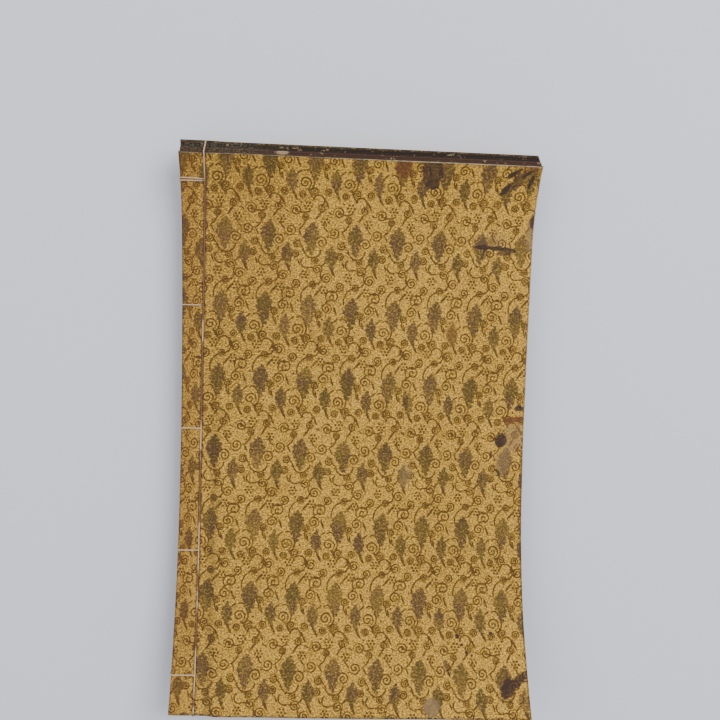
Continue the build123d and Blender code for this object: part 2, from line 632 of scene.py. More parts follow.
LOOP_BAND = FigureBand(
    small_leaf=(11.2, 12.2),
    curls=(
        (-11.9, -2.1, 2.8, 10.0, 1), (6.0, 3.6, 2.9, 60.0, -1), (-7.5, 5.0, 1.9, 70.0, 1),
        (-9.7, -12.9, 2.6, 0.0, -1), (4.1, 18.6, 2.4, 200.0, 1), (4.9, -14.9, 1.9, 140.0, 1),
        (-8.3, 11.0, 1.8, 300.0, -1), (2.9, 13.6, 1.7, 90.0, -1), (-3.9, -9.6, 1.6, 20.0, 1),
    ),
    flowers=((-3.0, -15.7), (6.9, -7.8)),
    stems=(
        (1.1, 7.3, 4.9, 90.0, 88.0), (-1.0, 2.5, 5.5, 150.0, 25.0), (-11.4, -9.4, 7.7, 35.0, 28.0),
        (-5.5, -18.5, 6.5, 95.0, 40.0), (-13.0, -6.8, 4.6, 160.0, 40.0), (-1.9, 15.4, 3.0, 150.0, 85.0),
        (1.2, 21.5, 3.6, -75.0, 35.0), (8.0, 10.5, 2.6, 30.0, 60.0),
    ),
    strokes=(
        (3.3, -11.2, -58.0, 3.2, 0.60), (-11.8, 19.5, 62.0, 3.0, 0.75), (-6.6, -0.9, 65.0, 2.1, 0.45),
        (9.6, -12.6, 30.0, 1.6, 0.42), (7.4, 15.6, -50.0, 2.4, 0.52), (-6.2, 15.6, 70.0, 2.0, 0.50),
    ),
    buds=((-6.6, -5.4), (-4.2, 8.6), (9.0, 8.2), (0.2, -19.6), (-7.0, -17.6), (8.9, 0.4), (-1.0, 12.4)),
)
LEAF_BAND = FigureBand(
    small_leaf=(11.7, 11.3),
    curls=(
        (9.5, -16.8, 2.5, 180.0, 1), (-11.0, -7.0, 3.6, 120.0, -1), (9.8, -0.3, 2.7, 250.0, 1),
        (5.6, 3.1, 1.8, 180.0, -1), (-5.2, 12.1, 3.0, 300.0, 1), (-7.5, -12.9, 2.2, 330.0, 1),
        (1.9, -12.9, 1.7, 60.0, -1), (-6.4, 18.6, 1.7, 200.0, 1), (0.2, 16.6, 1.9, 120.0, -1),
        (7.6, 16.9, 1.8, 250.0, 1),
    ),
    flowers=((-3.0, -18.1), (8.0, -10.4)),
    stems=(
        (11.0, -18.9, 5.0, 175.0, 30.0), (3.6, -5.0, 8.2, 215.0, 48.0), (2.0, -18.0, 5.0, 75.0, 30.0),
        (-10.3, 0.1, 5.6, 235.0, 32.0), (-11.0, -12.9, 3.4, 60.0, 50.0), (-5.2, 11.8, 4.9, 10.0, 50.0),
        (2.5, 15.6, 5.3, 150.0, 28.0), (-4.3, 7.0, 2.0, -70.0, 75.0), (10.0, 6.1, 5.0, 170.0, 30.0),
        (2.7, 21.6, 3.1, -60.0, 120.0),
    ),
    strokes=(
        (-9.3, 0.6, 68.0, 2.9, 0.60), (4.6, -9.0, -52.0, 3.1, 0.62), (-10.6, 19.2, 60.0, 3.0, 0.70),
        (5.9, -14.6, -65.0, 1.8, 0.45), (7.3, 22.7, 64.0, 3.0, 0.62), (6.6, 8.4, 75.0, 2.2, 0.52),
        (-8.6, 6.2, -40.0, 1.9, 0.48),
    ),
    buds=((-6.2, -3.4), (7.7, 6.0), (-1.2, -14.4), (-9.6, 14.6), (2.4, 12.6), (9.9, 4.0), (-3.4, 15.9)),
)


@dataclass(frozen=True)
class ScrollFigure:
    """Repeating figure of leaves, curling tendrils and dotted flowers. Sizes are in millimetres."""

    bands: tuple[FigureBand, ...] = (LOOP_BAND, LEAF_BAND, LEAF_BAND)
    band_size: tuple[float, float] = (24.1, 40.4)
    start: tuple[float, float] = (73.0, 42.5)  # place of one large leaf of the first band
    lean: float = 1.7  # degrees that the cloth was laid on out of square
    line: float = 0.45
    soft: float = 0.14
    bud: float = 0.55
    large_lobes: tuple[tuple[float, float, float], ...] = (
        (0.7, -6.4, 1.1), (-0.4, -4.6, 1.7), (1.6, -4.2, 1.5), (-2.4, -2.2, 1.8), (2.6, -1.6, 1.8),
        (0.2, -1.6, 2.4), (-3.1, 0.9, 1.7), (2.8, 1.2, 1.6), (-0.2, 1.6, 2.5), (-2.5, 3.4, 1.3),
        (1.2, 4.2, 1.9), (-0.8, 5.2, 1.7), (1.5, 7.0, 1.4), (-0.5, 8.0, 1.5), (0.7, 9.8, 1.1),
    )
    small_lobes: tuple[tuple[float, float, float], ...] = (
        (0.3, -6.4, 0.9), (0.0, -4.8, 1.4), (-1.4, -3.0, 1.6), (1.4, -2.8, 1.6), (-2.0, -0.4, 1.4),
        (1.9, -0.2, 1.5), (0.0, -0.8, 2.0), (-1.2, 2.0, 1.5), (1.1, 2.2, 1.6), (0.2, 4.2, 1.4),
        (1.1, 5.8, 0.9),
    )
    curl_pitch: float = 0.64
    petals: int = 6
    flower_radius: float = 1.90
    petal_radius: float = 0.68

    @property
    def cell(self) -> tuple[float, float]:
        """Width and length of the whole repeat."""
        return self.band_size[0], self.band_size[1] * len(self.bands)

    def gather(self, kind: str) -> list[tuple[float, ...]]:
        """One kind of element from every band, placed in the whole repeat.

        Args:
            kind: Name of the bands' own field.

        Returns:
            The elements, each starting with its place.
        """
        step = self.band_size[1]
        return [
            (item[0], item[1] + step * number, *item[2:])
            for number, band in enumerate(self.bands)
            for item in getattr(band, kind)
        ]

    def laid(self, graph: Graph, place: Socket) -> Socket:
        """Place in the figure's own axes."""
        moved = graph.vector("SUBTRACT", place, (*self.start, 0.0))
        return graph.turned(moved, -self.lean)

    def offset(self, graph: Graph, place: Socket, spot: Sequence[float]) -> Socket:
        """Vector to a place from the nearest repeat of a spot.

        Args:
            graph: The material's graph.
            place: Place in the figure's axes, in millimetres.
            spot: The spot.

        Returns:
            Vector from the spot to the place.
        """
        half = (self.cell[0] / 2, self.cell[1] / 2, 1.0)
        moved = graph.vector("SUBTRACT", place, (spot[0], spot[1], 0.0))
        return graph.vector("WRAP", moved, half, tuple(-size for size in half))

    def nearest_spot(
        self, graph: Graph, place: Socket, spots: Sequence[Sequence[float]], marks: Sequence[float]
    ) -> tuple[Socket, Socket]:
        """Find the nearest of several spots.

        Args:
            graph: The material's graph.
            place: Place in the figure's axes.
            spots: The spots, each starting with its place.
            marks: A number for each spot, which comes back as the vector's Z.

        Returns:
            Vector from the nearest spot, and its length.
        """
        best_vector: Value | None = None
        best: Value = 0.0
        for spot, mark in zip(spots, marks):
            vector = self.offset(graph, place, spot)
            away = graph.vector("LENGTH", vector)
            marked = graph.vector("ADD", vector, (0.0, 0.0, mark))
            if best_vector is None:
                best_vector, best = marked, away
                continue
            nearer = graph.math("LESS_THAN", away, best)
            best_vector = graph.mix_vector(nearer, best_vector, marked)
            best = graph.lowest(best, away)
        return best_vector, best

    def leaves(
        self, graph: Graph, place: Socket, spots: Sequence[Sequence[float]], lobes: Sequence[Sequence[float]]
    ) -> Socket:
        """Distance outside the nearest of several leaves, each a bunch of round lobes.

        Args:
            graph: The material's graph.
            place: Place in the figure's axes, in millimetres.
            spots: The leaves' middles.
            lobes: The lobes' places from the middle, and their radii.

        Returns:
            The distance, which is negative inside a leaf.
        """
        local, _ = self.nearest_spot(graph, place, spots, [0.0] * len(spots))
        nearest: Value = 100.0
        for x, y, radius in lobes:
            away = graph.less(graph.vector("DISTANCE", local, (x, y, 0.0)), radius)
            nearest = graph.math("SMOOTH_MIN", nearest, away, 0.5)
        return nearest

    def large_leaves(self, graph: Graph, place: Socket) -> Socket:
        """Distance outside the large leaves."""
        spots = [(0.0, self.band_size[1] * number) for number in range(len(self.bands))]
        return self.leaves(graph, place, spots, self.large_lobes)

    def small_leaves(self, graph: Graph, place: Socket) -> Socket:
        """Distance outside the small leaves.

        Args:
            graph: The material's graph.
            place: Place in the figure's axes, in millimetres.

        Returns:
            The distance, which is negative inside a leaf.
        """
        spots = [
            (band.small_leaf[0], band.small_leaf[1] + self.band_size[1] * number)
            for number, band in enumerate(self.bands)
        ]
        return self.leaves(graph, place, spots, self.small_lobes)

    def drawn(self, graph: Graph, from_line: Socket, half: float) -> Socket:
        """Share of line at a distance from its middle."""
        return graph.ease(from_line, half + self.soft, half - self.soft)

    def curl_lines(self, graph: Graph, place: Socket) -> Socket:
        """Share of line from the curls: the nearest curl's spiral, cut off past its own radius.

        Args:
            graph: The material's graph.
            place: Place in the figure's axes, in millimetres.

        Returns:
            The share, from 0 to 1.
        """
        curls = self.gather("curls")
        marks = [hand * (round(radius * 10) + turn / 361.0) for _, _, radius, turn, hand in curls]
        vector, away = self.nearest_spot(graph, place, curls, marks)
        x, y, mark = graph.split(vector)
        size = graph.math("ABSOLUTE", mark)
        radius = graph.times(graph.math("FLOOR", size), 0.1)
        pitch = graph.times(radius, self.curl_pitch)
        turned_y = graph.times(y, graph.math("SIGN", mark))
        angle = graph.math("DIVIDE", graph.math("ARCTAN2", turned_y, x), math.tau)
        angle = graph.math("FRACT", graph.math("ADD", graph.less(angle, graph.math("FRACT", size)), 2.0))
        rings = graph.less(graph.math("DIVIDE", away, pitch), angle)
        from_line = graph.math("ABSOLUTE", graph.less(graph.math("FRACT", rings), 0.5))
        from_line = graph.times(from_line, pitch)
        reach = graph.scaled(radius, 1.06, self.line)
        past = graph.less(away, reach)
        return self.drawn(graph, graph.highest(from_line, graph.math("ADD", past, self.line)), self.line)

    def flower_lines(self, graph: Graph, place: Socket) -> Socket:
        """Share of line from the flowers: a ring of petals round a dot.

        Args:
            graph: The material's graph.
            place: Place in the figure's axes, in millimetres.

        Returns:
            The share, from 0 to 1.
        """
        flowers = self.gather("flowers")
        vector, away = self.nearest_spot(graph, place, flowers, [0.0] * len(flowers))
        x, y, _ = graph.split(vector)
        half_petal = math.pi / self.petals
        petal = graph.math("WRAP", graph.math("ARCTAN2", y, x), half_petal, -half_petal)
        petal_x = graph.less(graph.times(away, graph.math("COSINE", petal)), self.flower_radius)
        petal_y = graph.times(away, graph.math("SINE", petal))
        petal_away = graph.vector("LENGTH", graph.join(petal_x, petal_y))
        return self.drawn(graph, graph.lowest(petal_away, away), self.petal_radius)

    def stem_lines(self, graph: Graph, place: Socket) -> Socket:
        """Share of line from the stems, each an arc of a circle.

        Args:
            graph: The material's graph.
            place: Place in the figure's axes, in millimetres.

        Returns:
            The share, from 0 to 1.
        """
        nearest: Value = 100.0
        for centre_x, centre_y, radius, facing, half_span in self.gather("stems"):
            vector = self.offset(graph, place, (centre_x, centre_y))
            steep = 2 * radius
            way = (math.cos(math.radians(facing)), math.sin(math.radians(facing)), 0.0)
            way = tuple(-steep * part / radius for part in way)
            limit = steep * math.cos(math.radians(half_span))
            past_end = graph.math("ADD", graph.vector("DOT_PRODUCT", vector, way), limit, clamp=True)
            from_ring = graph.less(graph.vector("LENGTH", vector), radius)
            from_line = graph.math("ADD", graph.math("ABSOLUTE", from_ring), past_end)
            nearest = graph.lowest(nearest, from_line)
        return self.drawn(graph, nearest, self.line)

    def stroke_lines(self, graph: Graph, place: Socket) -> Socket:
        """Share of line from the leaf strokes, each a thin ellipse.

        Args:
            graph: The material's graph.
            place: Place in the figure's axes, in millimetres.

        Returns:
            The share, from 0 to 1.
        """
        nearest: Value = 100.0
        for spot_x, spot_y, turn, half_length, half_width in self.gather("strokes"):
            local = graph.turned(self.offset(graph, place, (spot_x, spot_y)), -turn)
            local = graph.vector("MULTIPLY", local, (1 / half_length, 1 / half_width, 0.0))
            nearest = graph.lowest(nearest, graph.vector("LENGTH", local))
        return graph.ease(nearest, 1.2, 0.85)

    def bud_lines(self, graph: Graph, place: Socket) -> Socket:
        """Share of line from the buds, each a dot.

        Args:
            graph: The material's graph.
            place: Place in the figure's axes, in millimetres.

        Returns:
            The share, from 0 to 1.
        """
        nearest: Value = 100.0
        for spot in self.gather("buds"):
            away = graph.vector("LENGTH", self.offset(graph, place, spot))
            nearest = graph.lowest(nearest, away)
        return self.drawn(graph, nearest, self.bud)

    def lines(self, graph: Graph, place: Socket) -> Socket:
        """Share of line at each place.

        Args:
            graph: The material's graph.
            place: Place in the figure's axes, in millimetres.

        Returns:
            The share, from 0 to 1.
        """
        figure = graph.highest(self.curl_lines(graph, place), self.flower_lines(graph, place))
        figure = graph.highest(figure, self.stem_lines(graph, place))
        figure = graph.highest(figure, self.bud_lines(graph, place))
        return graph.highest(figure, self.stroke_lines(graph, place))


@dataclass(frozen=True)
class Stain:
    """A worn or soiled spot, or a patch of painted shade, in millimetres from the spine and from the head,
    with its half sizes.
    """

    across: float
    along: float
    half_width: float
    half_length: float
    turn: float = 0.0
    strength: float = 1.0
    ragged: float = 0.8


@dataclass(frozen=True)
class FiguredCloth:
    """Gold figured cloth of the covers, with its weave, fading, soiling, wear and painted shade."""

    name: str = "figured_cloth"
    gold: tuple[float, float, float] = (0.465, 0.258, 0.042)
    pale_gold: tuple[float, float, float] = (0.980, 0.565, 0.084)
    deep_gold: tuple[float, float, float] = (0.165, 0.088, 0.016)
    line: tuple[float, float, float] = (0.086, 0.042, 0.009)
    olive: tuple[float, float, float] = (0.092, 0.060, 0.016)
    plum: tuple[float, float, float] = (0.092, 0.051, 0.024)
    soil: tuple[float, float, float] = (0.044, 0.024, 0.019)
    scuff: tuple[float, float, float] = (0.235, 0.150, 0.075)
    rust: tuple[float, float, float] = (0.140, 0.042, 0.016)
    soot: tuple[float, float, float] = (0.026, 0.017, 0.012)
    worn_pale: tuple[float, float, float] = (0.720, 0.560, 0.340)
    figure: ScrollFigure = field(default_factory=ScrollFigure)
    stains: tuple[Stain, ...] = ()
    scuffs: tuple[Stain, ...] = ()
    rusts: tuple[Stain, ...] = ()
    head_starts: tuple[float, float] = (-0.4, -9.4)  # where the front and back covers start
    margin_end: float = 19.0
    crease_line: float = 21.5
    # Reach of the painted shade towards the spine and the head: across, then along
    spine_head_shade_across: tuple[float, float] = (95.0, 25.0)
    spine_head_shade_along: tuple[float, float] = (190.0, 60.0)
    rubbed_across: tuple[float, float] = (70.0, 130.0)
    rubbed_along: tuple[float, float] = (240.0, 60.0)
    warp_pitch: float = 0.62
    weft_pitch: float = 0.55

    def build(self) -> bpy.types.Material:
        """Make the material, which sheet number 0 wears as the front cover and number 1 as the back cover.

        Returns:
            The material.
        """
        graph = Graph(self.name)
        flat = graph.flat_place()
        across, along, _ = graph.split(flat)
        wander = graph.vector("MULTIPLY", graph.noise_vector(flat, 0.9), (0.45, 0.45, 0.0))
        broad_wander = graph.vector("MULTIPLY", graph.noise_vector(flat, 0.03), (2.4, 2.4, 0.0))
        place = graph.vector("ADD", graph.join(across, along), graph.vector("ADD", wander, broad_wander))
        place = self.figure.laid(graph, place)
        fray = graph.times(graph.less(graph.noise(flat, 1.1, 2.0), 0.5), 1.9)

        lines = self.figure.lines(graph, place)
        large = graph.math("ADD", self.figure.large_leaves(graph, place), fray)
        small = graph.math("ADD", self.figure.small_leaves(graph, place), fray)
        leaf = graph.ease(graph.lowest(large, small), 0.3, -0.3)

        # Ground: broad fading, small clouds, painted shade towards the spine and the head, and the grain of
        # the threads
        broad = graph.noise(flat, 0.016, 3.0, 0.6)
        cloud = graph.noise(flat, 0.10, 3.0, 0.6)
        grain = graph.noise(graph.vector("MULTIPLY", flat, (1.0, 1.25, 1.0)), 0.95, 3.0, 0.75)
        lighter = graph.scaled(graph.ease(broad, 0.36, 0.62), 0.20, 0.04)
        ground = graph.mix(lighter, self.gold, self.pale_gold)
        ground = graph.mix(graph.times(graph.ease(cloud, 0.46, 0.70), 0.44), ground, self.deep_gold)
        # Painted shade: the cloth is darkened towards the spine and towards the head
        spine_head_shade = graph.ease(across, *self.spine_head_shade_across)
        spine_head_shade = graph.times(spine_head_shade, graph.ease(along, *self.spine_head_shade_along))
        ground = graph.mix(graph.times(spine_head_shade, 0.34), ground, self.deep_gold)
        ground = graph.mix(graph.times(graph.ease(grain, 0.50, 0.58), 0.86), ground, self.deep_gold)
        ground = graph.mix(graph.times(graph.ease(grain, 0.49, 0.41), 0.90), ground, self.pale_gold)

        # Figure: lines worn thin in places, and leaves of two dyes with gaps between their threads
        worn = graph.noise(flat, 0.45, 3.0, 0.7)
        strength = graph.scaled(graph.ease(worn, 0.66, 0.42), 0.30, 0.68)
        colour = graph.mix(graph.times(lines, strength), ground, self.line)
        dye = graph.mix(graph.ease(graph.noise(flat, 0.05, 2.0), 0.44, 0.58), self.olive, self.plum)
        gaps = graph.ease(graph.noise(flat, 0.80, 2.0, 0.75), 0.64, 0.42)
        depth_of_dye = graph.noise(flat, 0.035, 1.0)
        dyed = graph.times(graph.scaled(gaps, 0.42, 0.54), leaf)
        dyed = graph.times(dyed, graph.scaled(depth_of_dye, 0.9, 0.58), clamp=True)
        colour = graph.mix(dyed, colour, dye)

        colour = self.soiled(graph, colour, flat)

        warp = graph.math("SINE", graph.times(across, math.tau / self.warp_pitch))
        weft = graph.math("SINE", graph.times(along, math.tau / self.weft_pitch))
        weave = graph.scaled(graph.times(warp, weft), 0.25, grain)
        normal = graph.bump(weave, 0.00020, 0.9)
        normal = graph.bump(cloud, 0.0011, 0.5, normal)
        roughness = graph.scaled(grain, 0.15, 0.70)
        graph.surface(
            colour, roughness, normal, Sheen_Weight=0.03, Sheen_Roughness=0.5, Specular_IOR_Level=0.2
        )
        return graph.material

    def spotted(
        self, graph: Graph, place: Socket, ragged: Socket, stains: Sequence[Stain]
    ) -> Socket | float:
        """Strength of the strongest of several stains.

        Args:
            graph: The material's graph.
            place: Place on the flat sheet, with no Z.
            ragged: Noise around 0 that tears the stains' edges.
            stains: The stains.

        Returns:
            The strength, from 0 to 1.
        """
        strongest: Socket | float = 0.0
        for stain in stains:
            local = graph.vector("SUBTRACT", place, (stain.across, stain.along, 0.0))
            local = graph.turned(local, -stain.turn)
            local = graph.vector("MULTIPLY", local, (1 / stain.half_width, 1 / stain.half_length, 0.0))
            away = graph.scaled(ragged, stain.ragged * 3.2, graph.vector("LENGTH", local))
            spot = graph.times(graph.ease(away, 1.2, 0.8), stain.strength)
            strongest = graph.highest(strongest, spot)
        return strongest

    def soiled(self, graph: Graph, colour: Socket, flat: Socket) -> Socket:
        """Lay the soil, wear and painted shade over the cloth.

        Args:
            graph: The material's graph.
            colour: Colour of the clean cloth.
            flat: Place on the flat sheet.

        Returns:
            Colour of the soiled cloth, with painted shade.
        """
        across, along, back = graph.split(flat)
        on_front = graph.math("SUBTRACT", 1.0, back, clamp=True)
        ragged = graph.less(graph.noise(flat, 0.42, 4.0, 0.7), 0.5)
        flecks = graph.scaled(graph.ease(graph.noise(flat, 1.3, 3.0, 0.8), 0.62, 0.40), 0.14, 0.86)
        place = graph.join(across, along)
        for stains, tint in ((self.scuffs, self.scuff), (self.rusts, self.rust), (self.stains, self.soil)):
            share = graph.times(self.spotted(graph, place, ragged, stains), flecks)
            colour = graph.mix(graph.times(share, on_front), colour, tint)
        # The sewn margin is browner, with smears of dirt along the sewing, painted shade in the groove that
        # the thread lies in, and painted shade in the crease beside it, stronger towards the tail
        margin = graph.ease(across, self.margin_end, 2.0)
        colour = graph.mix(graph.times(margin, 0.32), colour, self.rust)
        from_sewing = graph.math("ABSOLUTE", graph.less(across, BOW.sewing_line / MM))
        patchy = graph.ease(graph.noise(flat, 0.040, 2.0), 0.44, 0.60)
        smear = graph.ease(graph.scaled(ragged, 3.5, from_sewing), 2.0, 0.4)
        smear = graph.times(smear, graph.scaled(patchy, 0.40, 0.12))
        colour = graph.mix(smear, colour, self.rust)
        # Painted shade in the groove that the thread lies in
        groove_shade = graph.ease(from_sewing, 1.2, 0.5)
        colour = graph.mix(graph.times(groove_shade, 0.58), colour, self.soil)
        # Painted shade in the crease beside the margin, stronger towards the tail
        from_crease = graph.math("ABSOLUTE", graph.less(across, self.crease_line))
        crease = graph.ease(graph.scaled(ragged, 5.0, from_crease), 4.2, 0.2)
        crease_shade_strength = graph.scaled(graph.ease(along, 110.0, 190.0), 0.26, 0.08)
        colour = graph.mix(graph.times(crease, crease_shade_strength), colour, self.soil)
        # Rubbed edges, and the pale thread line where the cloth turns over the board at the head
        from_fore = graph.less(BOW.width / MM, across)
        from_tail = graph.less(BOW.length / MM, along)
        front_start, back_start = self.head_starts
        start = graph.scaled(back, back_start - front_start, front_start)
        from_head = graph.less(along, start)
        from_edge = graph.lowest(graph.lowest(from_fore, from_tail), from_head)
        from_edge = graph.lowest(from_edge, graph.math("ADD", across, 0.3))
        edge = graph.ease(graph.scaled(ragged, 3.0, from_edge), 1.6, 0.2)
        colour = graph.mix(graph.times(edge, 0.65), colour, self.soil)
        rubbed = graph.ease(graph.noise(flat, 0.12, 3.0, 0.7), 0.60, 0.42)
        reach = graph.scaled(graph.ease(across, *self.rubbed_across), 0.45, 0.30)
        reach = graph.times(reach, on_front)
        pale = graph.times(graph.ease(from_head, 0.8, 0.45), reach)
        fore_pale = graph.times(graph.ease(from_fore, 0.8, 0.4), graph.ease(along, *self.rubbed_along))
        pale = graph.highest(pale, graph.times(fore_pale, 0.50))
        pale = graph.times(pale, graph.scaled(rubbed, 0.6, 0.4))
        colour = graph.mix(pale, colour, self.worn_pale)
        return graph.mix(graph.ease(from_head, 0.30, 0.12), colour, self.soot)


@dataclass(frozen=True)
class AgedPaper:
    """Thick album paper, browned towards its edges and black with soot at the head."""

    name: str = "aged_paper"
    paper: tuple[float, float, float] = (0.560, 0.440, 0.265)
    toned: tuple[float, float, float] = (0.420, 0.290, 0.140)
    edge: tuple[float, float, float] = (0.150, 0.080, 0.035)
    soot: tuple[float, float, float] = (0.034, 0.023, 0.016)
    russet: tuple[float, float, float] = (0.084, 0.040, 0.026)
    mould: tuple[float, float, float] = (0.130, 0.115, 0.070)
    flake: tuple[float, float, float] = (0.460, 0.315, 0.180)
    flake_place: tuple[float, float] = (56.0, 3.0)
    head_start: float = -1.53  # where the first leaf starts, from the cover's head edge
    head_step: float = -0.403  # how much further each next leaf starts
    sooty: bool = True

    def build(self) -> bpy.types.Material:
        """Make the material.

        Returns:
            The material.
        """
        graph = Graph(self.name)
        flat = graph.flat_place()
        across, along, number = graph.split(flat)
        own = graph.vector("ADD", flat, graph.join(0.0, 0.0, graph.times(number, 37.0)))
        fibre = graph.noise(graph.vector("MULTIPLY", own, (1.0, 0.35, 1.0)), 1.4, 4.0, 0.7)
        cloud = graph.noise(own, 0.03, 3.0, 0.6)
        colour = graph.mix(graph.ease(cloud, 0.35, 0.7), self.paper, self.toned)
        colour = graph.mix(graph.times(graph.ease(fibre, 0.5, 0.75), 0.25), colour, self.toned)
        fox = graph.ease(graph.noise(own, 0.20, 2.0), 0.66, 0.74)
        colour = graph.mix(graph.times(fox, 0.35), colour, self.edge)
        ragged = graph.less(graph.noise(own, 0.15, 4.0, 0.7), 0.5)
        from_fore = graph.less(BOW.width / MM, across)
        from_tail = graph.less(BOW.length / MM, along)
        from_head = graph.less(along, graph.scaled(number, self.head_step, self.head_start))
        from_edge = graph.lowest(graph.lowest(from_fore, from_tail), from_head)
        from_edge = graph.lowest(from_edge, across)
        browned = graph.ease(graph.scaled(ragged, 16.0, from_edge), 16.0, 1.0)
        colour = graph.mix(graph.times(browned, 0.7), colour, self.edge)
        if self.sooty:
            colour = self.sooted(graph, colour, flat, from_head)
        graph.surface(colour, 0.88, graph.bump(fibre, 0.00008, 0.6), Specular_IOR_Level=0.2)
        return graph.material

    def sooted(self, graph: Graph, colour: Socket, flat: Socket, from_head: Socket) -> Socket:
        """Blacken the head edge.

        Args:
            graph: The material's graph.
            colour: Colour of the paper.
            flat: Place on the flat sheet.
            from_head: Distance from the leaf's own head edge.

        Returns:
            Colour with the soot over it.
        """
        across, _, number = graph.split(flat)
        stacked = graph.join(across, graph.times(number, 0.65))
        blotch = graph.noise(stacked, 0.16, 4.0, 0.7)
        speck = graph.noise(stacked, 0.75, 3.0, 0.7)
        near_front = graph.ease(graph.scaled(blotch, 10.0, number), 17.0, 11.0)
        soot = graph.mix(graph.times(near_front, 0.9), self.soot, self.russet)
        mouldy = graph.times(graph.ease(across, 62.0, 25.0), graph.ease(speck, 0.46, 0.60))
        soot = graph.mix(graph.times(mouldy, 0.85), soot, self.mould)
        flaked = graph.ease(graph.scaled(speck, 0.5, blotch), 0.86, 0.92)
        from_flake = graph.vector("SUBTRACT", stacked, (*self.flake_place, 0.0))
        from_flake = graph.vector("LENGTH", graph.vector("MULTIPLY", from_flake, (0.27, 0.36, 0.0)))
        large_flake = graph.ease(graph.scaled(speck, 1.1, from_flake), 1.6, 1.3)
        soot = graph.mix(graph.times(flaked, 0.7), soot, self.flake)
        soot = graph.mix(graph.times(large_flake, 0.95), soot, self.flake)
        reach = graph.scaled(blotch, 3.0, 0.9)
        return graph.mix(graph.ease(from_head, graph.math("ADD", reach, 1.2), reach), colour, soot)


@dataclass(frozen=True)
class SewingThread:
    """Undyed twisted thread, soiled reddish-brown in stretches."""

    name: str = "sewing_thread"
    clean: tuple[float, float, float] = (0.64, 0.46, 0.29)
    soiled: tuple[float, float, float] = (0.155, 0.062, 0.036)
    head_stretch: tuple[float, float] = (0.134, 0.143)  # Y from which the thread stays pale
    dirty_stretch: tuple[float, float] = (-0.02, 0.05)  # Y from which it is the most soiled

    def build(self) -> bpy.types.Material:
        """Make the material.

        Returns:
            The material.
        """
        graph = Graph(self.name)
        place = graph.object_place()
        x, y, _ = graph.split(place)
        # The turns round the spine and the stretch over the head stay pale; the upper half is the most soiled
        sewing_x = BOW.spine_x + BOW.sewing_line
        on_turns = graph.ease(x, sewing_x - 0.0008, sewing_x - 0.0018)
        clean_part = graph.highest(on_turns, graph.ease(y, *self.head_stretch))
        least = graph.scaled(graph.ease(y, *self.dirty_stretch), -0.10, 0.46)
        blotch = graph.noise(place, 52.0, 3.0, 0.65)
        soil = graph.ease(blotch, least, graph.math("ADD", least, 0.10))
        soil = graph.times(soil, graph.scaled(clean_part, -0.85, 0.92))
        fibre = graph.noise(place, 3200.0, 2.0, 0.7)
        colour = graph.mix(soil, self.clean, self.soiled)
        colour = graph.mix(graph.times(graph.ease(fibre, 0.45, 0.75), 0.28), colour, self.soiled)
        graph.surface(colour, 0.85, graph.bump(fibre, 0.00008, 0.7), Sheen_Weight=0.2, Specular_IOR_Level=0.2)
        return graph.material


@dataclass(frozen=True)
class PlainFloor:
    """Pale matt floor."""

    name: str = "plain_floor"
    colour: tuple[float, float, float] = (0.78, 0.79, 0.87)
    roughness: float = 0.9

    def build(self) -> bpy.types.Material:
        """Make the material.

        Returns:
            The material.
        """
        graph = Graph(self.name)
        graph.surface(self.colour, self.roughness, None, Specular_IOR_Level=0.2)
        return graph.material


# ----------------------------------------------------------------------------------------------------------
# Sub-assemblies
# ----------------------------------------------------------------------------------------------------------


@dataclass
class SheetGrid:
    """Columns and rows of the grids that the sheets are bent from."""

    hinge_start: float = 0.017
    hinge_end: float = 0.062
    margin_step: float = 0.0024
    hinge_step: float = 0.0022
    panel_step: float = 0.0046
    row_step: float = 0.0030

    def columns(self, start: float, end: float) -> list[float]:
        """Distances across, closer together where the sheet bends.

        Args:
            start: First column's distance from the spine.
            end: Last column's distance from the spine.

        Returns:
            The distances in order.
        """
        stops = [max(start, 0.0), self.hinge_start, self.hinge_end, end]
        steps = [self.margin_step, self.hinge_step, self.panel_step]
        distances: list[float] = []
        for low, high, step in zip(stops, stops[1:], steps):
            if high <= low:
                continue
            count = max(1, round((high - low) / step))
            distances += [low + (high - low) * part / count for part in range(count)]
        return [*distances, end]

    def rows(self, start: float, end: float) -> list[float]:
        """Distances along, evenly spaced from start to end."""
        count = round((end - start) / self.row_step)
        return [start + (end - start) * part / count for part in range(count + 1)]

    def join_covers(self, piece: bpy.types.Object, body: str) -> None:
        """Bake a sheet's placement into its mesh.

        Args:
            piece: The piece.
            body: The body meant for its free part; not used.
        """
        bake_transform(piece)


